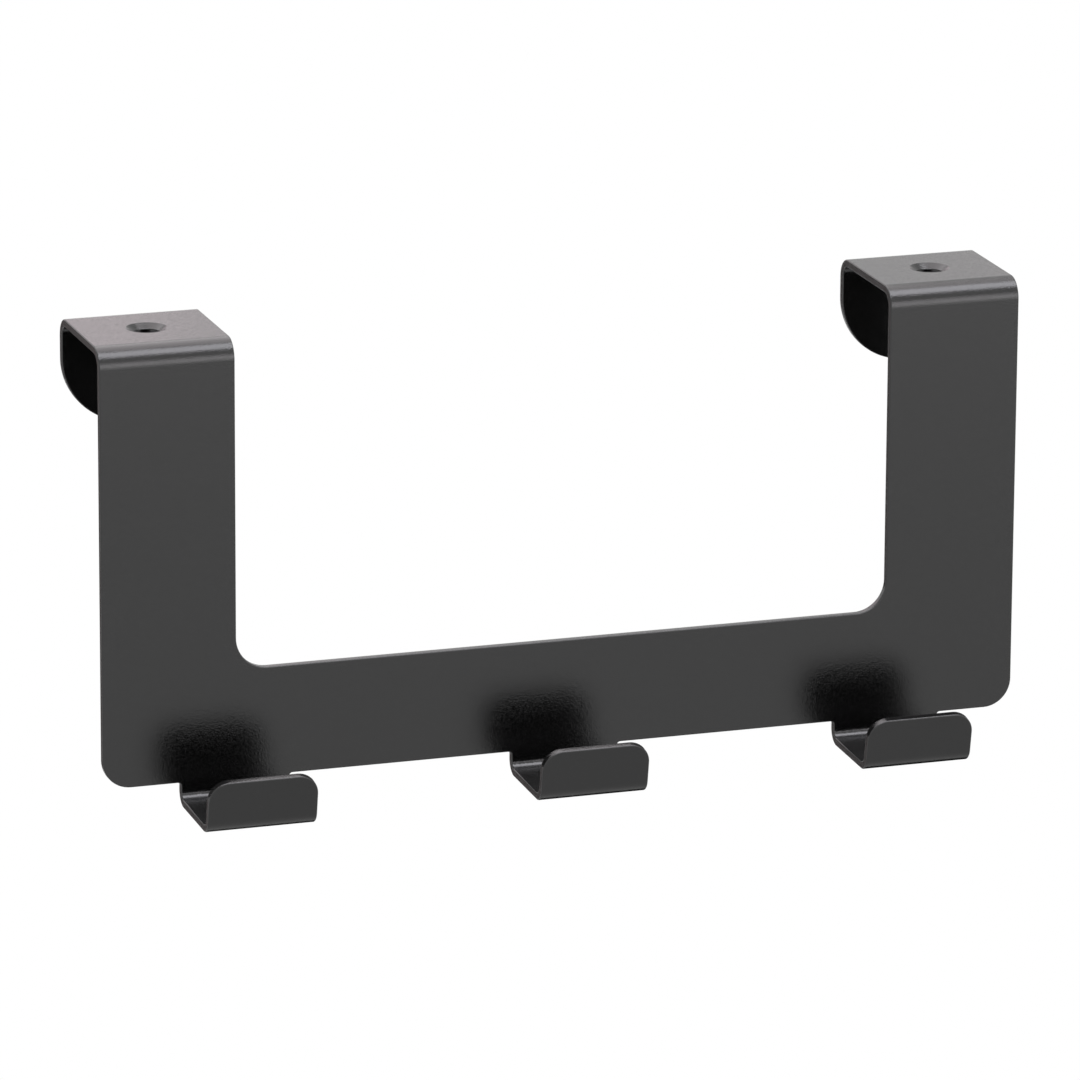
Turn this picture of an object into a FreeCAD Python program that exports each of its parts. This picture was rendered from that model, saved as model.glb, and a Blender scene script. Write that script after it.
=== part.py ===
import FreeCAD, Part
import math
import os

import Sketcher
from FreeCAD import Placement, Rotation, Vector

# Over door hook rack with three hooks.
# It is one steel sheet: cut to its outline, pierced, folded and coated.
# Two brackets fold over the top of a door and down its back. The front plate hangs
# from them as two uprights and a bar, and three J hooks fold forward from the bar.
#
# Frame: X runs along the rack, Y from the front of the door to its back, Z up.
# The origin is the middle of the door's top edge, halfway between the screw holes.
# All sizes are in millimetres and degrees.

SIZES = (
    ("rack_width", 300, "left side of the plate to its right side"),
    ("rack_height", 140, "top of the brackets to the bottom edge of the bar"),
    ("sheet_thickness", 2.5, "steel with its coat"),
    ("door_gap", 41, "front plate to rear flange, inside, for a 40 mm door"),
    ("bracket_width", 43, "width of an upright, its bracket and its rear flange"),
    ("bar_height", 35, "height of the bar that carries the hooks"),
    ("bracket_fold_radius", 4, "inside of the two folds over the door"),
    ("rear_flange_height", 35, "top of a bracket to the round tip of its rear flange"),
    ("plate_corner_radius", 9, "outer corners at the bottom of the plate"),
    ("cutout_corner_radius", 10, "corners between the uprights and the bar"),
    ("screw_hole_diameter", 8.4, "hole through the top of each bracket"),
    ("screw_head_diameter", 12.8, "mouth of the countersink"),
    ("screw_head_angle", 110, "included angle of the countersink"),
    ("hook_count", 3, "hooks along the bar"),
    ("hook_width", 35, "width of a hook"),
    ("hook_end_inset", 25, "side of the plate to the nearest hook"),
    ("hook_reach", 32, "front of the plate to the front of the lip, at its top"),
    ("hook_tab_drop", 2.5, "bottom edge of the bar to the start of the hook's fold"),
    ("hook_lip_rise", 9, "bottom edge of the bar to the top of the lip"),
    ("hook_fold_radius", 2.5, "inside of the hook's two folds"),
    ("hook_floor_fall", 1.5, "slope of the hook's floor, down towards its lip"),
    ("hook_lip_lean", 10, "lean of the lip, away from the door"),
    ("lip_corner_radius", 6.5, "two upper corners of a lip"),
    ("tab_root_radius", 1, "where the sides of a hook meet the bar"),
    ("edge_radius", 0.3, "softened edges of the cut sheet, under the coat"),
)

DECK = "sizes.sheet_thickness"
PLATE_FRONT = "-(sizes.door_gap / 2 + sizes.sheet_thickness)"
PLATE_BOTTOM = "(sizes.sheet_thickness - sizes.rack_height)"
BRACKET_CENTRE = "(sizes.rack_width - sizes.bracket_width) / 2"
CUTOUT_HALF = "(sizes.rack_width / 2 - sizes.bracket_width)"
CUTOUT_FLOOR = f"{PLATE_BOTTOM} + sizes.bar_height"
ABOVE_DECK = "2 * sizes.sheet_thickness"
FLANGE_TIP = "(sizes.sheet_thickness - sizes.rear_flange_height)"
TIP_CENTRE = f"{FLANGE_TIP} + sizes.bracket_width / 2"
# The flange starts one thickness longer, and the cut that rounds it goes two past its tip.
FLANGE_BLANK = f"{FLANGE_TIP} - sizes.sheet_thickness"
BELOW_FLANGE = f"{FLANGE_TIP} - 2 * sizes.sheet_thickness"
FIRST_HOOK = "(-sizes.rack_width / 2 + sizes.hook_end_inset + sizes.hook_width / 2)"
HOOK_ROW = "sizes.rack_width - 2 * sizes.hook_end_inset - sizes.hook_width"
TAB_BACK = f"{PLATE_FRONT} + sizes.sheet_thickness"
TAB_TOP = f"{PLATE_BOTTOM} + sizes.sheet_thickness"
TAB_END = f"{PLATE_BOTTOM} - sizes.hook_tab_drop"
LIP_FRONT = f"{PLATE_FRONT} - sizes.hook_reach"
LIP_TOP = f"{PLATE_BOTTOM} + sizes.hook_lip_rise"
TAB_TO_FLOOR = "90 + sizes.hook_floor_fall"
FLOOR_TO_LIP = "90 + sizes.hook_lip_lean - sizes.hook_floor_fall"

# Two faces that meet at more than this angle have a sharp edge between them.
SHARP_DEGREES = 30
# Two places closer than this are one place.
NEAR = 0.01


def make_sizes(document):
    """Put the driving sizes into a spreadsheet, one alias to a row."""
    table = document.addObject("Spreadsheet::Sheet", "sizes")
    for row, (alias, value, meaning) in enumerate(SIZES, start=1):
        table.set(f"A{row}", meaning)
        table.set(f"B{row}", str(value))
        table.setAlias(f"B{row}", alias)
    document.recompute()
    return table


def value_of(owner, expression):
    """Work out an expression of the sizes as a plain number."""
    return float(owner.evalExpression(expression))


def origin_part(body, role):
    """Find an origin plane or axis of the body by its role."""
    return next(item for item in body.Origin.OriginFeatures if item.Role == role)


def new_sketch(body, name, plane, offset=None):
    """Add a sketch on an origin plane, moved along the plane's normal by offset."""
    sketch = body.newObject("Sketcher::SketchObject", name)
    sketch.AttachmentSupport = [(origin_part(body, plane), "")]
    sketch.MapMode = "FlatFace"
    if offset:
        sketch.setExpression("AttachmentOffset.Base.z", offset)
    return sketch


def size(sketch, name, kind, places, expression):
    """Add a named constraint whose value follows the sizes."""
    number = value_of(sketch, expression)
    if kind == "Angle":
        number = math.radians(number)
        expression = f"({expression}) * 1 deg"
    index = sketch.addConstraint(Sketcher.Constraint(kind, *places, number))
    sketch.renameConstraint(index, name)
    sketch.setExpression(f"Constraints.{name}", expression)


def line(sketch, start, end):
    """Add a straight line between two points of the sketch."""
    return sketch.addGeometry(Part.LineSegment(Vector(*start), Vector(*end)))


def join(sketch, lines):
    """Join lines end to start, in a closed ring."""
    for first, second in zip(lines, lines[1:] + lines[:1]):
        sketch.addConstraint(Sketcher.Constraint("Coincident", first, 2, second, 1))


def side_of(start, end):
    """Unit vector to the right of the way from start to end."""
    way = (end - start).normalize()
    return Vector(way.y, -way.x, 0)


def draw_folded_strip(sketch, corners, thickness, fold_radius):
    """Draw the section of a folded strip and hold it together with constraints.

    corners are the outer corners of the strip, from one end to the other, and the
    strip lies to the right of the way between them. Returns the outer straight lines.
    """
    inner_radius = value_of(sketch, fold_radius)
    gauge = value_of(sketch, thickness)
    outer_radius = inner_radius + gauge
    sides = [side_of(a, b) for a, b in zip(corners, corners[1:])]
    centres = []
    for corner, before, after in zip(corners[1:-1], sides, sides[1:]):
        centres.append(corner + (before + after) * (outer_radius / (1 + before * after)))

    def legs(radius, depth):
        """Straight runs at a depth below the outer face, cut back for the folds."""
        starts = [corners[0] + sides[0] * depth]
        starts += [centre - side * radius for centre, side in zip(centres, sides[1:])]
        ends = [centre - side * radius for centre, side in zip(centres, sides)]
        ends += [corners[-1] + sides[-1] * depth]
        return [line(sketch, a, b) for a, b in zip(starts, ends)]

    def folds(radius, runs):
        """Arcs between the runs, each tangent to both of its neighbours."""
        arcs = []
        for number, centre in enumerate(centres):
            before, after = sides[number], sides[number + 1]
            first = math.atan2(-after.y, -after.x)
            last = math.atan2(-before.y, -before.x)
            circle = Part.Circle(centre, Vector(0, 0, 1), radius)
            arc = sketch.addGeometry(Part.ArcOfCircle(circle, first, last))
            tangents = (
                Sketcher.Constraint("Tangent", runs[number], 2, arc, 2),
                Sketcher.Constraint("Tangent", arc, 1, runs[number + 1], 1),
            )
            sketch.addConstraint(list(tangents))
            arcs.append(arc)
        return arcs

    outer = legs(outer_radius, 0)
    inner = legs(inner_radius, gauge)
    outer_arcs = folds(outer_radius, outer)
    inner_arcs = folds(inner_radius, inner)
    for number, (outside, inside) in enumerate(zip(outer_arcs, inner_arcs), start=1):
        sketch.addConstraint(Sketcher.Constraint("Coincident", outside, 3, inside, 3))
        size(sketch, f"inner_radius_{number}", "Radius", (inside,), fold_radius)
        size(sketch, f"outer_radius_{number}", "Radius", (outside,), f"{fold_radius} + {thickness}")
    for outside, inside, end in ((outer[0], inner[0], 1), (outer[-1], inner[-1], 2)):
        cap = line(sketch, sketch.getPoint(outside, end), sketch.getPoint(inside, end))
        caps = (
            Sketcher.Constraint("Coincident", outside, end, cap, 1),
            Sketcher.Constraint("Coincident", inside, end, cap, 2),
            Sketcher.Constraint("Parallel", outside, inside),
            Sketcher.Constraint("Perpendicular", outside, cap),
        )
        sketch.addConstraint(list(caps))
    return outer


def pad(body, sketch, length):
    """Grow a solid from the sketch, as far to each side of it."""
    feature = body.newObject("PartDesign::Pad", f"{sketch.Name}_pad")
    feature.Profile = sketch
    feature.SideType = "Symmetric"
    feature.setExpression("Length", length)
    return feature


def straight_edges(shape, accept):
    """Name the straight edges of the shape that accept says yes to."""
    names = []
    for number, edge in enumerate(shape.Edges, start=1):
        if isinstance(edge.Curve, Part.Line):
            way = (edge.lastVertex().Point - edge.firstVertex().Point).normalize()
            if accept(edge.CenterOfMass, way):
                names.append(f"Edge{number}")
    return names


def round_edges(body, name, edges, radius):
    """Round the named edges of the body's last feature."""
    base = body.Tip
    feature = body.newObject("PartDesign::Fillet", name)
    feature.Base = (base, edges)
    feature.setExpression("Radius", radius)
    body.Document.recompute()
    return feature


def make_channel(body):
    """Plate, bracket tops and rear flanges as one folded channel, still full width."""
    sketch = new_sketch(body, "channel", "YZ_Plane")
    front = value_of(sketch, PLATE_FRONT)
    deck = value_of(sketch, DECK)
    corners = [
        Vector(front, value_of(sketch, PLATE_BOTTOM), 0),
        Vector(front, deck, 0),
        Vector(-front, deck, 0),
        Vector(-front, value_of(sketch, FLANGE_BLANK), 0),
    ]
    outer = draw_folded_strip(sketch, corners, "sizes.sheet_thickness", "sizes.bracket_fold_radius")
    straight = (
        Sketcher.Constraint("Vertical", outer[0]),
        Sketcher.Constraint("Horizontal", outer[1]),
        Sketcher.Constraint("Vertical", outer[2]),
    )
    sketch.addConstraint(list(straight))
    size(sketch, "plate_front", "DistanceX", (outer[0], 1), PLATE_FRONT)
    size(sketch, "plate_bottom", "DistanceY", (outer[0], 1), PLATE_BOTTOM)
    size(sketch, "deck", "DistanceY", (outer[1], 1), DECK)
    size(sketch, "flange_back", "DistanceX", (outer[2], 2), f"-{PLATE_FRONT}")
    size(sketch, "flange_end", "DistanceY", (outer[2], 2), FLANGE_BLANK)
    return pad(body, sketch, "sizes.rack_width")


def cut_between_uprights(body):
    """Take out the sheet between the two uprights, from the bar up."""
    sketch = new_sketch(body, "cutout", "XZ_Plane")
    half = value_of(sketch, CUTOUT_HALF)
    low = value_of(sketch, CUTOUT_FLOOR)
    high = value_of(sketch, ABOVE_DECK)
    sides = [
        line(sketch, (-half, low, 0), (half, low, 0)),
        line(sketch, (half, low, 0), (half, high, 0)),
        line(sketch, (half, high, 0), (-half, high, 0)),
        line(sketch, (-half, high, 0), (-half, low, 0)),
    ]
    join(sketch, sides)
    for number, side in enumerate(sides):
        kind = "Vertical" if number % 2 else "Horizontal"
        sketch.addConstraint(Sketcher.Constraint(kind, side))
    size(sketch, "right", "DistanceX", (sides[1], 1), CUTOUT_HALF)
    size(sketch, "left", "DistanceX", (sides[3], 1), f"-{CUTOUT_HALF}")
    size(sketch, "floor", "DistanceY", (sides[0], 1), CUTOUT_FLOOR)
    size(sketch, "open_top", "DistanceY", (sides[2], 1), ABOVE_DECK)
    feature = body.newObject("PartDesign::Pocket", "cutout_pocket")
    feature.Profile = sketch
    feature.SideType = "Symmetric"
    feature.Type = "ThroughAll"
    return feature


def round_flange_tips(body):
    """Cut the lower end of the left rear flange to a half circle, then mirror the cut."""
    sketch = new_sketch(body, "flange_tip", "XZ_Plane")
    margin = value_of(sketch, "sizes.sheet_thickness")
    radius = value_of(sketch, "sizes.bracket_width / 2")
    middle = -value_of(sketch, BRACKET_CENTRE)
    shoulder = value_of(sketch, TIP_CENTRE)
    left = middle - radius - margin
    right = middle + radius + margin
    low = value_of(sketch, BELOW_FLANGE)
    circle = Part.Circle(Vector(middle, shoulder, 0), Vector(0, 0, 1), radius)
    arc = sketch.addGeometry(Part.ArcOfCircle(circle, math.pi, 2 * math.pi))
    ledge_right = line(sketch, (middle + radius, shoulder, 0), (right, shoulder, 0))
    drop_right = line(sketch, (right, shoulder, 0), (right, low, 0))
    bottom = line(sketch, (right, low, 0), (left, low, 0))
    drop_left = line(sketch, (left, low, 0), (left, shoulder, 0))
    ledge_left = line(sketch, (left, shoulder, 0), (middle - radius, shoulder, 0))
    join(sketch, [arc, ledge_right, drop_right, bottom, drop_left, ledge_left])
    for flat in (ledge_right, bottom, ledge_left):
        sketch.addConstraint(Sketcher.Constraint("Horizontal", flat))
    for upright in (drop_right, drop_left):
        sketch.addConstraint(Sketcher.Constraint("Vertical", upright))
    size(sketch, "tip_radius", "Radius", (arc,), "sizes.bracket_width / 2")
    size(sketch, "tip_middle", "DistanceX", (arc, 3), f"-{BRACKET_CENTRE}")
    size(sketch, "tip_centre", "DistanceY", (arc, 3), TIP_CENTRE)
    size(sketch, "shoulder_left", "DistanceY", (arc, 1), TIP_CENTRE)
    size(sketch, "shoulder_right", "DistanceY", (arc, 2), TIP_CENTRE)
    size(sketch, "margin_left", "Distance", (ledge_left,), "sizes.sheet_thickness")
    size(sketch, "margin_right", "Distance", (ledge_right,), "sizes.sheet_thickness")
    size(sketch, "margin_low", "DistanceY", (bottom, 1), BELOW_FLANGE)
    cut = body.newObject("PartDesign::Pocket", "flange_tip_pocket")
    cut.Profile = sketch
    cut.setExpression("Length", "sizes.door_gap / 2 + 2 * sizes.sheet_thickness")
    body.Document.recompute()
    mirror = body.newObject("PartDesign::Mirrored", "flange_tip_mirror")
    mirror.Originals = [cut]
    mirror.MirrorPlane = (origin_part(body, "YZ_Plane"), [""])
    body.Tip = mirror
    return mirror


def add_hooks(body):
    """Fold one hook forward from the bar and repeat it along the rack."""
    sketch = new_sketch(body, "hook", "YZ_Plane", FIRST_HOOK)
    back = value_of(sketch, TAB_BACK)
    fall = math.radians(value_of(sketch, "sizes.hook_floor_fall"))
    lean = math.radians(value_of(sketch, "sizes.hook_lip_lean"))
    outer_radius = value_of(sketch, "sizes.hook_fold_radius + sizes.sheet_thickness")
    # The floor's underside turns away from the back of the tab by a right angle less its fall.
    heel_drop = outer_radius * math.tan((math.pi / 2 - fall) / 2)
    tab_top = Vector(back, value_of(sketch, TAB_TOP), 0)
    heel = Vector(back, value_of(sketch, TAB_END) - heel_drop, 0)
    lip_top = Vector(value_of(sketch, LIP_FRONT), value_of(sketch, LIP_TOP), 0)
    floor_way = Vector(-math.cos(fall), -math.sin(fall), 0)
    lip_way = Vector(math.sin(lean), -math.cos(lean), 0)
    # The toe is where the underside of the floor and the front of the lip would meet.
    along_lip = (heel - lip_top).cross(floor_way).z / lip_way.cross(floor_way).z
    toe = lip_top + lip_way * along_lip
    corners = [tab_top, heel, toe, lip_top]
    outer = draw_folded_strip(sketch, corners, "sizes.sheet_thickness", "sizes.hook_fold_radius")
    tab, floor, lip = outer
    sketch.addConstraint(Sketcher.Constraint("Vertical", tab))
    size(sketch, "tab_back", "DistanceX", (tab, 1), TAB_BACK)
    size(sketch, "tab_top", "DistanceY", (tab, 1), TAB_TOP)
    size(sketch, "tab_end", "DistanceY", (tab, 2), TAB_END)
    size(sketch, "tab_to_floor", "Angle", (tab, 2, floor, 1), TAB_TO_FLOOR)
    size(sketch, "floor_to_lip", "Angle", (floor, 2, lip, 1), FLOOR_TO_LIP)
    size(sketch, "lip_front", "DistanceX", (lip, 2), LIP_FRONT)
    size(sketch, "lip_top", "DistanceY", (lip, 2), LIP_TOP)
    first = pad(body, sketch, "sizes.hook_width")
    body.Document.recompute()
    row = body.newObject("PartDesign::LinearPattern", "hook_row")
    row.Originals = [first]
    row.Direction = (origin_part(body, "X_Axis"), [""])
    row.setExpression("Length", HOOK_ROW)
    row.setExpression("Occurrences", "sizes.hook_count")
    body.Tip = row
    return row


def pierce_brackets(body):
    """Countersunk screw holes through the middle of each bracket top."""
    sketch = new_sketch(body, "screw_holes", "XY_Plane", DECK)
    middle = value_of(sketch, BRACKET_CENTRE)
    radius = value_of(sketch, "sizes.screw_hole_diameter / 2")
    for side, sign in (("left", "-"), ("right", "")):
        centre = Vector(-middle if sign else middle, 0, 0)
        hole = sketch.addGeometry(Part.Circle(centre, Vector(0, 0, 1), radius))
        sketch.addConstraint(Sketcher.Constraint("PointOnObject", hole, 3, -1))
        size(sketch, f"{side}_hole", "DistanceX", (hole, 3), f"{sign}{BRACKET_CENTRE}")
        size(sketch, f"{side}_radius", "Radius", (hole,), "sizes.screw_hole_diameter / 2")
    body.Document.recompute()
    feature = body.newObject("PartDesign::Hole", "countersunk_holes")
    feature.Profile = sketch
    feature.DepthType = "ThroughAll"
    feature.HoleCutType = "Countersink"
    feature.setExpression("Diameter", "sizes.screw_hole_diameter")
    feature.setExpression("HoleCutDiameter", "sizes.screw_head_diameter")
    feature.setExpression("HoleCutCountersinkAngle", "sizes.screw_head_angle")
    return feature


def round_outline(body, table):
    """Round the corners of the sheet's outline: plate, cut-out, lips and hook roots."""
    bottom = value_of(table, PLATE_BOTTOM)
    front = value_of(table, PLATE_FRONT)
    cutout_floor = value_of(table, CUTOUT_FLOOR)
    cutout_half = value_of(table, CUTOUT_HALF)
    half = table.rack_width / 2

    def crosses_sheet(way):
        return abs(way.x) < NEAR

    def plate_corner(centre, way):
        at_side = abs(abs(centre.x) - half) < NEAR
        return crosses_sheet(way) and at_side and abs(centre.z - bottom) < NEAR

    def cutout_corner(centre, way):
        at_side = abs(abs(centre.x) - cutout_half) < NEAR
        return crosses_sheet(way) and at_side and abs(centre.z - cutout_floor) < NEAR

    def tab_root(centre, way):
        inside = abs(centre.x) < half - NEAR
        return crosses_sheet(way) and inside and abs(centre.z - bottom) < NEAR

    def lip_corner(centre, way):
        in_front = centre.y < front - table.hook_reach / 2
        return crosses_sheet(way) and in_front and abs(way.z) < abs(way.y) and centre.z > bottom

    rounds = (
        ("plate_corners", plate_corner, "sizes.plate_corner_radius"),
        ("cutout_corners", cutout_corner, "sizes.cutout_corner_radius"),
        ("tab_roots", tab_root, "sizes.tab_root_radius"),
        ("lip_corners", lip_corner, "sizes.lip_corner_radius"),
    )
    for name, accept, radius in rounds:
        round_edges(body, name, straight_edges(body.Shape, accept), radius)


def soften_edges(body, table):
    """Take the sharpness off every cut edge of the sheet, away from the screw holes."""
    names = []
    keep_clear = table.screw_head_diameter / 2 + NEAR
    hole_x = value_of(table, BRACKET_CENTRE)
    for number, edge in enumerate(body.Shape.Edges, start=1):
        middle = edge.valueAt((edge.FirstParameter + edge.LastParameter) / 2)
        if math.hypot(abs(middle.x) - hole_x, middle.y) <= keep_clear and middle.z >= -NEAR:
            continue
        faces = body.Shape.ancestorsOfType(edge, Part.Face)
        normals = [face.normalAt(*face.Surface.parameter(middle)) for face in faces]
        if len(normals) == 2 and math.degrees(normals[0].getAngle(normals[1])) > SHARP_DEGREES:
            names.append(f"Edge{number}")
    return round_edges(body, "softened_edges", names, "sizes.edge_radius")


def volume_after(document, body, step, before, sign):
    """Recompute, and stop if a step added (sign 1) or removed (sign -1) nothing."""
    document.recompute()
    volume = body.Shape.Volume
    if (volume - before) * sign <= 0:
        raise RuntimeError(f"{step} took the volume from {before:.1f} to {volume:.1f}")
    return volume


def check(document, body):
    """Stop if an object failed, or if the body isn't one valid solid."""
    for item in document.Objects:
        if "Invalid" in item.State or "Error" in item.State:
            raise RuntimeError(f"{item.Name} failed: {item.State}")
    shape = body.Shape
    if shape.isNull() or not shape.isValid() or len(shape.Solids) != 1:
        raise RuntimeError("the rack isn't one valid solid")


def build():
    """Make the rack in the order in which the sheet gets its features."""
    document = FreeCAD.newDocument("over_door_hook")
    table = make_sizes(document)
    rack = document.addObject("PartDesign::Body", "hook_rack")
    rack.Label = "hook_rack"
    rack.Placement = Placement(Vector(0, 0, 0), Rotation())
    make_channel(rack)
    volume = volume_after(document, rack, "channel", 0, 1)
    cut_between_uprights(rack)
    volume = volume_after(document, rack, "cutout", volume, -1)
    round_flange_tips(rack)
    volume = volume_after(document, rack, "flange tips", volume, -1)
    add_hooks(rack)
    volume = volume_after(document, rack, "hooks", volume, 1)
    round_outline(rack, table)
    volume = rack.Shape.Volume
    pierce_brackets(rack)
    volume = volume_after(document, rack, "screw holes", volume, -1)
    soften_edges(rack, table)
    volume_after(document, rack, "softened edges", volume, -1)
    check(document, rack)
    return rack


os.makedirs("parts", exist_ok=True)
hook_rack = build()
hook_rack.Shape.exportStep(f"parts/{hook_rack.Label}.step")
print(f"{hook_rack.Label}: {hook_rack.Shape.Volume:.1f} mm3, {len(hook_rack.Shape.Faces)} faces")
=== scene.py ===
import math

import bmesh
import bpy
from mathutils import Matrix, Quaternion, Vector


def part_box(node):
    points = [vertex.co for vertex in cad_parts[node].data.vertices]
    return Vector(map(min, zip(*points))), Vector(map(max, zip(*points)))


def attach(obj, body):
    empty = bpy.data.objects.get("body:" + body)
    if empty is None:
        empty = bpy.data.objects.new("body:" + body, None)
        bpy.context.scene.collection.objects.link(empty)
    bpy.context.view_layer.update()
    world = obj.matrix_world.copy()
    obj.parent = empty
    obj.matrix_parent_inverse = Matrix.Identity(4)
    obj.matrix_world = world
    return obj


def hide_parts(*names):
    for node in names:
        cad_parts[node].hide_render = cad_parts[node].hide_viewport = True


# Over door hook rack: one steel sheet, laser cut, pierced, folded and powder coated black.
# The plate's front surface is drawn flat and its corners are rounded. Then the sheet goes on
# over the door and into the hooks, fold by fold, with round tips and lips, and gets its
# thickness, its soft cut edges and its screw holes.

MM = 0.001

# Sizes of the sheet in millimetres, and its angles. The height is measured from the top of the
# brackets to the bottom edge of the bar.
RACK_HEIGHT = 140.0
SHEET = 2.5
BRACKET_WIDTH = 43.0
BAR_HEIGHT = 35.0
DOOR_FOLD_INSIDE = 4.0
FLANGE_HEIGHT = 35.0
PLATE_CORNER = 9.0
CUTOUT_CORNER = 10.0
HOOK_WIDTH = 35.0
HOOK_END_INSET = 25.0
HOOK_COUNT = 3
HOOK_REACH = 32.0
HOOK_TAB_DROP = 2.5
HOOK_LIP_RISE = 9.0
HOOK_FOLD_INSIDE = 2.5
HOOK_FLOOR_FALL = math.radians(1.5)
HOOK_LIP_LEAN = math.radians(10)
LIP_CORNER = 6.5
TAB_ROOT = 1.0
SCREW_HOLE = 8.4
SCREW_HEAD = 12.8
SCREW_HEAD_ANGLE = math.radians(110)
SOFT_EDGE = 0.4
HOLE_EDGE = 0.12

# How finely the rounds are drawn.
DOOR_FOLD_STEPS = 16
HOOK_FOLD_STEPS = 14
CORNER_STEPS = 14
TIP_STEPS = 28
ROOT_STEPS = 5
SOFT_EDGE_STEPS = 3
HOLE_EDGE_STEPS = 2
HOLE_SIDES = 72
FLOOR_SIDES = 96

# Points within this distance are the same place, and faces within this angle are one flat face.
NEAR = 0.02 * MM
FLAT = math.radians(0.5)

# Two faces that turn by more than these angles meet at a cut edge of the sheet, at the rim of a
# hole, or at an edge that is shaded sharp.
CUT_EDGE = math.radians(60)
HOLE_RIM = math.radians(30)
SHARP = math.radians(35)

# The camera stands to the left of the rack and above it, with a long lens, and looks at the
# middle of the rack, as the lamps and the cards do. Azimuths and elevations are in degrees.
VIEW_AZIMUTH = -18.44
VIEW_ELEVATION = 15.98
VIEW_ROLL = math.radians(0.32)
CAMERA_DISTANCE = 2.584
AIM = Vector((-5.6, -14.3, -71.9)) * MM
LENS = 275.8
SENSOR = 36.0

# The rack hangs over a round pale floor, in a white room. The sizes are in metres, and the
# brightness of the room and of the floor is a share of full white.
FLOOR_DROP = 1.1
FLOOR_RADIUS = 2.2
FLOOR_IN_GLOSS = 0.8
ROOM_SEEN = 1.0
ROOM_LIGHT = 0.2
WHITE = (1.0, 1.0, 1.0, 1.0)

# Azimuth, elevation and distance of each softbox, its width and height, its watts and colour.
SOFTBOXES = {
    "overhead_softbox": (24, 69, 1.5, 1.9, 0.75, 22, "#f9f8ff"),
    "ceiling_softbox": (192, 62, 1.9, 2.2, 2.0, 26.5, "#fff7fb"),
    "front_softbox": (18, 16, 0.8, 0.8, 0.28, 1.25, "#fffaff"),
    "low_front_softbox": (18, 2, 1.6, 1.6, 0.6, 2.4, "#ffffff"),
    "back_left_softbox": (182.9, 17.2, 2.1, 1.2, 0.65, 1.5, "#ffdde9"),
    "back_right_softbox": (145, 14.3, 2.5, 1.0, 0.65, 0.2, "#ffc4d8"),
}

# Azimuth, elevation and distance of each card, its width and height, and its colour.
CARDS = {
    "low_grey_card": (199, -16, 1.5, 0.62, 0.6, "#8c8583"),
    "low_black_card": (157, -47, 1.0, 0.9, 0.8, "#202020"),
}

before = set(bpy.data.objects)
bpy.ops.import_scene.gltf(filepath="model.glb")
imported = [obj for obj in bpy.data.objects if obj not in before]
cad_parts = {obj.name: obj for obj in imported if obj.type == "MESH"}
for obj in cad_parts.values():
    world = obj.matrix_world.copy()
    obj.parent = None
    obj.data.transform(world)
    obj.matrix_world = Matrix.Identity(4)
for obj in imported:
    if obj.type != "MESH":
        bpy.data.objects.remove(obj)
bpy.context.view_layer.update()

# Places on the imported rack, in metres.
low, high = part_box("hook_rack")
half_width = high.x
top = high.z
rear = high.y
front = -rear
bottom = top - RACK_HEIGHT * MM
bar_top = bottom + BAR_HEIGHT * MM
cutout_half = half_width - BRACKET_WIDTH * MM
hole_x = half_width - BRACKET_WIDTH * MM / 2
door_fold = (DOOR_FOLD_INSIDE + SHEET) * MM
door_fold_z = top - door_fold
flange_tip = top - FLANGE_HEIGHT * MM


def hex_to_linear(code):
    """Turn an sRGB hex colour into linear red, green, blue and alpha."""
    channels = [int(code[i:i + 2], 16) / 255 for i in (1, 3, 5)]
    linear = [c / 12.92 if c <= 0.04045 else ((c + 0.055) / 1.055) ** 2.4 for c in channels]
    return (*linear, 1.0)


def add_node(tree, kind, settings=None, values=None, links=None):
    """Add a node with its settings, its socket values and its links from other sockets."""
    node = tree.nodes.new(kind)
    for name, setting in (settings or {}).items():
        setattr(node, name, setting)
    for socket, value in (values or {}).items():
        node.inputs[socket].default_value = value
    for socket, source in (links or {}).items():
        tree.links.new(source, node.inputs[socket])
    return node


def new_material(name):
    """An empty node material and its tree."""
    material = bpy.data.materials.new(name)
    material.use_nodes = True
    material.node_tree.nodes.clear()
    return material, material.node_tree


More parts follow.
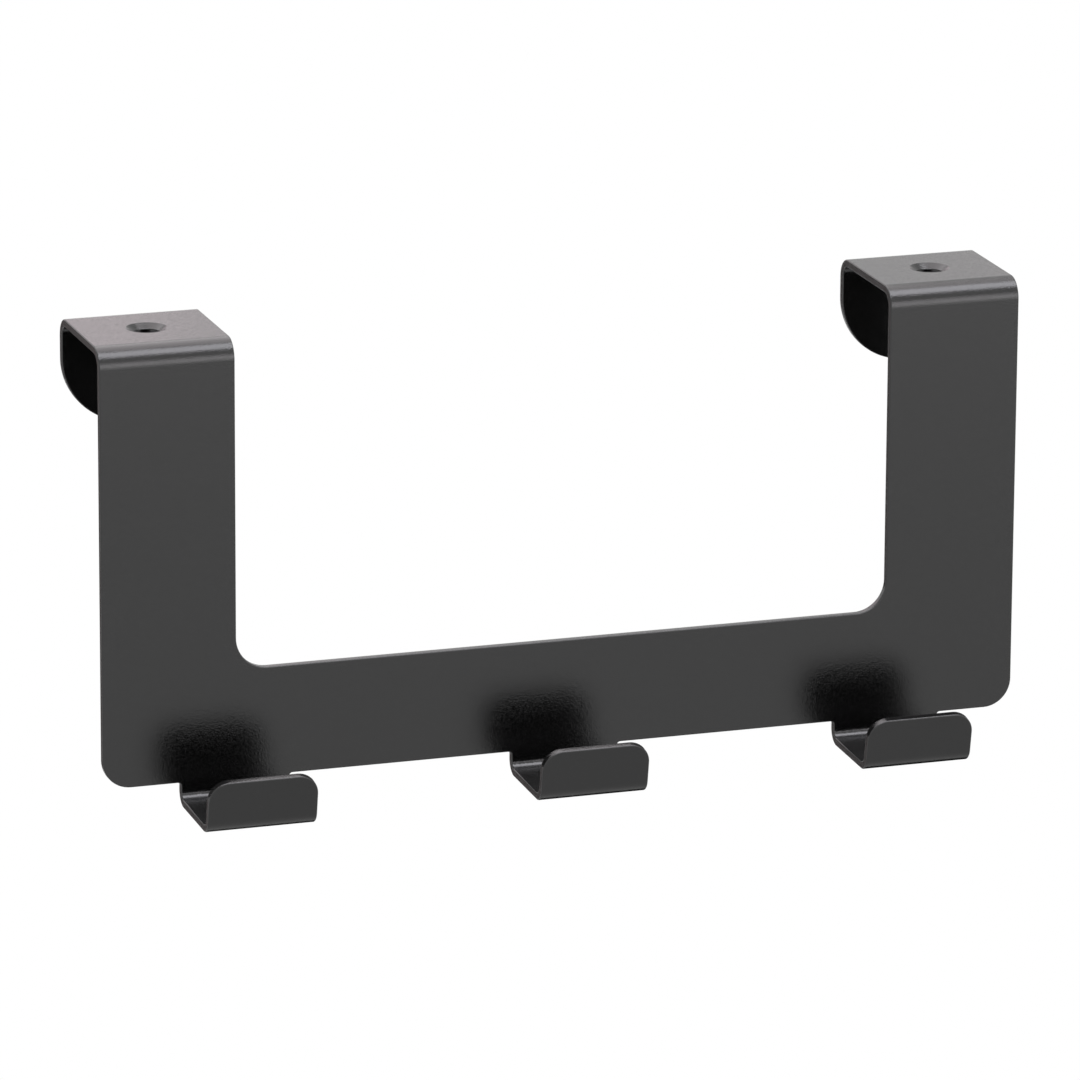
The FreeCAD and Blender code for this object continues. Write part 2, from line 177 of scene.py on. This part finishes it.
def powder_coated_steel():
    """Black epoxy and polyester powder, sprayed dry and baked on the steel.

    It is deep black, and what shows is the room in its satin gloss. The powder flows
    out to a fine orange peel, with a grain of powder clumps on it, and the gloss changes
    from clump to clump, which gives a fine speckle. The real clumps are about 0.1 mm
    across, too fine to show, so they are drawn a few times coarser.
    """
    peel_size = 1.6 * MM
    peel_height = 0.012 * MM
    grain_size = 0.42 * MM
    grain_height = 0.052 * MM
    clump_size = 0.7 * MM
    noise_low = 0.35
    noise_high = 0.65
    smoothest = 0.16
    roughest = 0.25
    material, tree = new_material("powder_coated_steel")
    place = add_node(tree, "ShaderNodeTexCoord").outputs["Object"]

    def noise(size, detail):
        """A noise with features of a size, from 0 to 1."""
        texture = add_node(
            tree, "ShaderNodeTexNoise",
            values={"Scale": 1 / size, "Detail": detail}, links={"Vector": place},
        )
        return texture.outputs["Fac"]

    gloss = add_node(
        tree, "ShaderNodeMapRange",
        values={"From Min": noise_low, "From Max": noise_high, "To Min": smoothest, "To Max": roughest},
        links={"Value": noise(clump_size, 1.0)},
    )
    peel = add_node(
        tree, "ShaderNodeBump", values={"Strength": 1.0, "Distance": peel_height},
        links={"Height": noise(peel_size, 2.0)},
    )
    grain = add_node(
        tree, "ShaderNodeBump", values={"Strength": 1.0, "Distance": grain_height},
        links={"Height": noise(grain_size, 1.0), "Normal": peel.outputs["Normal"]},
    )
    coat = add_node(
        tree, "ShaderNodeBsdfPrincipled",
        values={"Base Color": hex_to_linear("#050505"), "IOR": 1.58},
        links={"Roughness": gloss.outputs["Result"], "Normal": grain.outputs["Normal"]},
    )
    add_node(tree, "ShaderNodeOutputMaterial", links={"Surface": coat.outputs["BSDF"]})
    return material


def activate(piece):
    """Make the piece the only selected and the active object."""
    bpy.ops.object.select_all(action="DESELECT")
    piece.select_set(True)
    bpy.context.view_layer.objects.active = piece


def pick(kind, accept):
    """In edit mode, select only the vertices, edges or faces that accept says yes to."""
    bpy.ops.mesh.select_mode(type=kind)
    bpy.ops.mesh.select_all(action="DESELECT")
    data = bpy.context.active_object.data
    mesh = bmesh.from_edit_mesh(data)
    items = {"VERT": mesh.verts, "EDGE": mesh.edges, "FACE": mesh.faces}[kind]
    chosen = [item for item in items if accept(item)]
    for item in chosen:
        item.select_set(True)
    mesh.select_flush_mode()
    bmesh.update_edit_mesh(data)
    if not chosen:
        raise RuntimeError(f"nothing to pick among the {kind} items")


def centre_of(edge):
    """Middle of an edge."""
    return (edge.verts[0].co + edge.verts[1].co) / 2


def is_along_x(edge):
    """Whether an edge runs along the rack."""
    way = edge.verts[1].co - edge.verts[0].co
    return abs(way.y) < NEAR and abs(way.z) < NEAR


def is_sharper(edge, angle):
    """Whether the two faces at an edge turn by more than an angle."""
    return len(edge.link_faces) == 2 and edge.calc_face_angle() > angle


def extrude(way):
    """Pull what is selected out by a vector."""
    bpy.ops.mesh.extrude_region_move(TRANSFORM_OT_translate={"value": way})


def fold(centre, angle, steps):
    """Sweep the selected edges round an axis along X, as a press brake would."""
    bpy.ops.mesh.spin(steps=steps, angle=angle, center=centre, axis=(1, 0, 0))


def round_off(kind, width, steps):
    """Round the selected vertices or edges."""
    bpy.ops.mesh.bevel(offset=width, offset_type="OFFSET", affect=kind, segments=steps, profile=0.5)


def round_corners(accept, radius, steps):
    """Round the flat corners at the vertices that accept says yes to."""
    pick("VERT", accept)
    round_off("VERTICES", radius, steps)


def hook_sides():
    """Left and right side of each hook, in metres."""
    span = 2 * half_width - 2 * HOOK_END_INSET * MM - HOOK_WIDTH * MM
    lefts = [-half_width + HOOK_END_INSET * MM + span * n / (HOOK_COUNT - 1) for n in range(HOOK_COUNT)]
    return [(left, left + HOOK_WIDTH * MM) for left in lefts]


def cut_blank():
    """Flat front surface of the plate: the bar, the two uprights and the hooks' tabs."""
    bpy.ops.mesh.primitive_plane_add(
        size=1, location=(0, front, (bar_top + bottom) / 2), rotation=(math.pi / 2, 0, 0),
    )
    blank = bpy.context.active_object
    activate(blank)
    blank.name = "hook_rack_coated"
    blank.scale = (2 * half_width, bar_top - bottom, 1)
    bpy.ops.object.transform_apply(location=True, rotation=True, scale=True)
    bpy.ops.object.mode_set(mode="EDIT")
    for side in (-1, 1):
        bpy.ops.mesh.select_all(action="SELECT")
        bpy.ops.mesh.bisect(plane_co=(side * cutout_half, 0, 0), plane_no=(1, 0, 0))
    pick("EDGE", lambda e: abs(centre_of(e).z - bar_top) < NEAR and abs(centre_of(e).x) > cutout_half)
    extrude((0, 0, door_fold_z - bar_top))
    for sides in hook_sides():
        for x in sides:
            pick("FACE", lambda f: f.calc_center_median().z < bar_top)
            bpy.ops.mesh.bisect(plane_co=(x, 0, 0), plane_no=(1, 0, 0))

    def is_over_a_hook(edge):
        middle = centre_of(edge)
        in_a_hook = any(left < middle.x < right for left, right in hook_sides())
        return is_along_x(edge) and abs(middle.z - bottom) < NEAR and in_a_hook

    pick("EDGE", is_over_a_hook)
    extrude((0, 0, -HOOK_TAB_DROP * MM))
    bpy.ops.mesh.select_all(action="SELECT")
    bpy.ops.mesh.dissolve_limited(angle_limit=FLAT)
    return blank


def round_plate():
    """Round corners of the plate, of the opening between the uprights and beside the hooks."""
    round_corners(
        lambda v: abs(abs(v.co.x) - half_width) < NEAR and abs(v.co.z - bottom) < NEAR,
        PLATE_CORNER * MM, CORNER_STEPS,
    )
    round_corners(
        lambda v: abs(abs(v.co.x) - cutout_half) < NEAR and abs(v.co.z - bar_top) < NEAR,
        CUTOUT_CORNER * MM, CORNER_STEPS,
    )
    edges = [x for sides in hook_sides() for x in sides]
    round_corners(
        lambda v: abs(v.co.z - bottom) < NEAR and any(abs(v.co.x - x) < NEAR for x in edges),
        TAB_ROOT * MM, ROOT_STEPS,
    )


def fold_over_door():
    """Bracket tops and rear flanges, from the upper ends of the uprights."""
    pick("EDGE", lambda e: is_along_x(e) and abs(centre_of(e).z - door_fold_z) < NEAR)
    fold((0, front + door_fold, door_fold_z), math.pi / 2, DOOR_FOLD_STEPS)
    extrude((0, 2 * (rear - door_fold), 0))
    fold((0, rear - door_fold, door_fold_z), math.pi / 2, DOOR_FOLD_STEPS)
    extrude((0, 0, flange_tip - door_fold_z))
    # The two corners of a tip make a half circle. A hair less keeps their ends apart.
    tip_radius = BRACKET_WIDTH * MM / 2 - NEAR / 4
    round_corners(
        lambda v: abs(v.co.y - rear) < NEAR and abs(v.co.z - flange_tip) < NEAR,
        tip_radius, TIP_STEPS,
    )


def fold_hooks():
    """Floors and lips of the hooks, from the lower ends of their tabs."""
    radius = HOOK_FOLD_INSIDE * MM
    tab_end = bottom - HOOK_TAB_DROP * MM
    first = Vector((0, front - radius, tab_end))
    floor_way = Vector((0, -math.cos(HOOK_FLOOR_FALL), -math.sin(HOOK_FLOOR_FALL)))
    lip_way = Vector((0, -math.sin(HOOK_LIP_LEAN), math.cos(HOOK_LIP_LEAN)))
    lip_inward = Vector((0, math.cos(HOOK_LIP_LEAN), math.sin(HOOK_LIP_LEAN)))
    lip_top = Vector((0, front - HOOK_REACH * MM, bottom + HOOK_LIP_RISE * MM)) + lip_inward * SHEET * MM
    floor_length = (radius - (first - lip_top).dot(lip_inward)) / floor_way.dot(lip_inward)
    second = first + floor_way * floor_length
    lip_length = (lip_top - second).dot(lip_way)
    pick("EDGE", lambda e: is_along_x(e) and abs(centre_of(e).z - tab_end) < NEAR)
    fold(first, math.pi / 2 - HOOK_FLOOR_FALL, HOOK_FOLD_STEPS)
    extrude(floor_way * floor_length)
    fold(second, math.pi / 2 + HOOK_FLOOR_FALL - HOOK_LIP_LEAN, HOOK_FOLD_STEPS)
    extrude(lip_way * lip_length)
    round_corners(
        lambda v: v.co.y < front - HOOK_REACH * MM / 2 and abs(v.co.z - lip_top.z) < NEAR,
        LIP_CORNER * MM, CORNER_STEPS,
    )


def apply_modifier(piece, kind, **settings):
    """Add a modifier to the piece and apply it."""
    modifier = piece.modifiers.new(kind.lower(), kind)
    for name, value in settings.items():
        setattr(modifier, name, value)
    bpy.ops.object.modifier_apply(modifier=modifier.name)


def thicken(piece):
    """Give the folded surface the thickness of the sheet, behind its front."""
    bpy.ops.mesh.select_all(action="SELECT")
    bpy.ops.mesh.remove_doubles(threshold=NEAR)
    bpy.ops.mesh.normals_make_consistent(inside=False)
    plate = max(bmesh.from_edit_mesh(piece.data).faces, key=lambda f: f.calc_area())
    if plate.normal.y > 0:
        bpy.ops.mesh.select_all(action="SELECT")
        bpy.ops.mesh.flip_normals()
    bpy.ops.object.mode_set(mode="OBJECT")
    apply_modifier(piece, "SOLIDIFY", thickness=SHEET * MM, offset=-1.0, use_even_offset=True)


def soften_cut_edges():
    """Round off the cut edges of the sheet, as the powder leaves them."""
    bpy.ops.object.mode_set(mode="EDIT")
    pick("EDGE", lambda e: is_sharper(e, CUT_EDGE))
    round_off("EDGES", SOFT_EDGE * MM, SOFT_EDGE_STEPS)
    bpy.ops.object.mode_set(mode="OBJECT")


def make_drill(x):
    """The form of one screw hole: a countersink with a straight hole below its throat."""
    spread = math.tan(SCREW_HEAD_ANGLE / 2)
    sink = (SCREW_HEAD - SCREW_HOLE) / 2 * MM / spread
    throat = top - sink
    depth = sink + SHEET * MM
    bpy.ops.mesh.primitive_cone_add(
        vertices=HOLE_SIDES, radius1=SCREW_HOLE * MM / 2, radius2=SCREW_HOLE * MM / 2 + depth * spread,
        depth=depth, location=(x, 0, throat + depth / 2),
    )
    drill = bpy.context.active_object
    activate(drill)
    bpy.ops.object.transform_apply(location=True, rotation=True, scale=True)
    bpy.ops.object.mode_set(mode="EDIT")
    pick("FACE", lambda f: all(abs(v.co.z - throat) < NEAR for v in f.verts))
    extrude((0, 0, -SHEET * MM))
    bpy.ops.object.mode_set(mode="OBJECT")
    return drill


def pierce(piece):
    """Countersunk screw holes in the bracket tops, with soft rims."""
    for side in (-1, 1):
        drill = make_drill(side * hole_x)
        activate(piece)
        apply_modifier(piece, "BOOLEAN", operation="DIFFERENCE", object=drill, solver="EXACT")
        bpy.data.objects.remove(drill)

    def is_on_a_rim(edge):
        middle = centre_of(edge)
        off_axis = Vector((abs(middle.x) - hole_x, middle.y))
        in_a_hole = off_axis.length < SCREW_HEAD * MM / 2 + NEAR and middle.z > -NEAR
        return in_a_hole and is_sharper(edge, HOLE_RIM)

    bpy.ops.object.mode_set(mode="EDIT")
    pick("EDGE", is_on_a_rim)
    round_off("EDGES", HOLE_EDGE * MM, HOLE_EDGE_STEPS)
    bpy.ops.object.mode_set(mode="OBJECT")


def make_rack(coat):
    """The rack as one folded and coated sheet."""
    piece = cut_blank()
    round_plate()
    fold_over_door()
    fold_hooks()
    thicken(piece)
    soften_cut_edges()
    pierce(piece)
    activate(piece)
    bpy.ops.object.shade_smooth_by_angle(angle=SHARP)
    apply_modifier(piece, "WEIGHTED_NORMAL", mode="FACE_AREA", keep_sharp=True)
    piece.data.materials.append(coat)
    return piece


def direction(azimuth, elevation):
    """Unit vector towards a place round the rack, azimuth 0 in front and 90 to the right, in degrees."""
    turn = math.radians(azimuth)
    rise = math.radians(elevation)
    return Vector((math.sin(turn) * math.cos(rise), -math.cos(turn) * math.cos(rise), math.sin(rise)))


def make_camera():
    """Camera at the photograph's angle, framed as the photograph is."""
    data = bpy.data.cameras.new("camera")
    data.lens = LENS
    data.sensor_width = SENSOR
    camera = bpy.data.objects.new("camera", data)
    bpy.context.scene.collection.objects.link(camera)
    way = direction(VIEW_AZIMUTH, VIEW_ELEVATION)
    camera.location = AIM + way * CAMERA_DISTANCE
    camera.rotation_mode = "QUATERNION"
    camera.rotation_quaternion = (-way).to_track_quat("-Z", "Y") @ Quaternion((0, 0, 1), VIEW_ROLL)
    bpy.context.scene.camera = camera


def make_room():
    """White room, seen by the camera and in the gloss, that lights the rack only a little."""
    world = bpy.data.worlds.new("studio")
    bpy.context.scene.world = world
    world.use_nodes = True
    tree = world.node_tree
    tree.nodes.clear()
    path = add_node(tree, "ShaderNodeLightPath")
    seen = path.outputs["Is Camera Ray"]
    for kind in ("Is Glossy Ray", "Is Transmission Ray"):
        either = add_node(
            tree, "ShaderNodeMath", {"operation": "MAXIMUM"}, links={0: seen, 1: path.outputs[kind]},
        )
        seen = either.outputs["Value"]
    strength = add_node(
        tree, "ShaderNodeMapRange",
        values={"To Min": ROOM_LIGHT, "To Max": ROOM_SEEN}, links={"Value": seen},
    )
    room = add_node(
        tree, "ShaderNodeBackground",
        values={"Color": WHITE}, links={"Strength": strength.outputs["Result"]},
    )
    add_node(tree, "ShaderNodeOutputWorld", links={"Surface": room.outputs["Background"]})


def make_softbox(name, azimuth, elevation, distance, width, height, watts, tint):
    """A rectangular lamp that looks at the rack."""
    light = bpy.data.lights.new(name, "AREA")
    light.shape = "RECTANGLE"
    light.size = width
    light.size_y = height
    light.energy = watts
    light.color = hex_to_linear(tint)[:3]
    lamp = bpy.data.objects.new(name, light)
    bpy.context.scene.collection.objects.link(lamp)
    way = direction(azimuth, elevation)
    lamp.location = AIM + way * distance
    lamp.rotation_mode = "QUATERNION"
    lamp.rotation_quaternion = (-way).to_track_quat("-Z", "Y")
    lamp.visible_camera = False


def make_floor():
    """Plain pale floor well below the rack, which shows in the gloss nearly as pale as the room."""
    material, tree = new_material("pale_floor")
    path = add_node(tree, "ShaderNodeLightPath")
    paint = add_node(tree, "ShaderNodeBsdfDiffuse", values={"Color": hex_to_linear("#e8e8e8")})
    glow = add_node(tree, "ShaderNodeEmission", values={"Color": WHITE, "Strength": FLOOR_IN_GLOSS})
    floor_look = add_node(
        tree, "ShaderNodeMixShader",
        links={0: path.outputs["Is Glossy Ray"], 1: paint.outputs["BSDF"], 2: glow.outputs["Emission"]},
    )
    add_node(tree, "ShaderNodeOutputMaterial", links={"Surface": floor_look.outputs["Shader"]})
    bpy.ops.mesh.primitive_circle_add(
        vertices=FLOOR_SIDES, radius=FLOOR_RADIUS, fill_type="NGON", location=(0, 0, low.z - FLOOR_DROP),
    )
    floor = bpy.context.active_object
    activate(floor)
    floor.name = "floor"
    bpy.ops.object.transform_apply(location=True, rotation=True, scale=True)
    floor.data.materials.append(material)


def make_card(name, azimuth, elevation, distance, width, height, shade):
    """A plain dark card that the camera doesn't see and that shows only in the gloss."""
    material, tree = new_material(name)
    paint = add_node(tree, "ShaderNodeBsdfDiffuse", values={"Color": hex_to_linear(shade)})
    add_node(tree, "ShaderNodeOutputMaterial", links={"Surface": paint.outputs["BSDF"]})
    way = direction(azimuth, elevation)
    bpy.ops.mesh.primitive_plane_add(size=1)
    card = bpy.context.active_object
    activate(card)
    card.name = name
    card.scale = (width, height, 1)
    card.location = AIM + way * distance
    card.rotation_mode = "QUATERNION"
    card.rotation_quaternion = way.to_track_quat("-Z", "Y")
    bpy.ops.object.transform_apply(location=True, rotation=True, scale=True)
    card.data.materials.append(material)
    card.visible_camera = False
    card.visible_diffuse = False
    card.visible_shadow = False


bpy.context.scene.view_settings.view_transform = "Standard"
make_camera()
make_room()
for softbox, setup in SOFTBOXES.items():
    make_softbox(softbox, *setup)
make_floor()
for card, setup in CARDS.items():
    make_card(card, *setup)
rack = make_rack(powder_coated_steel())
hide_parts("hook_rack")
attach(rack, "root")
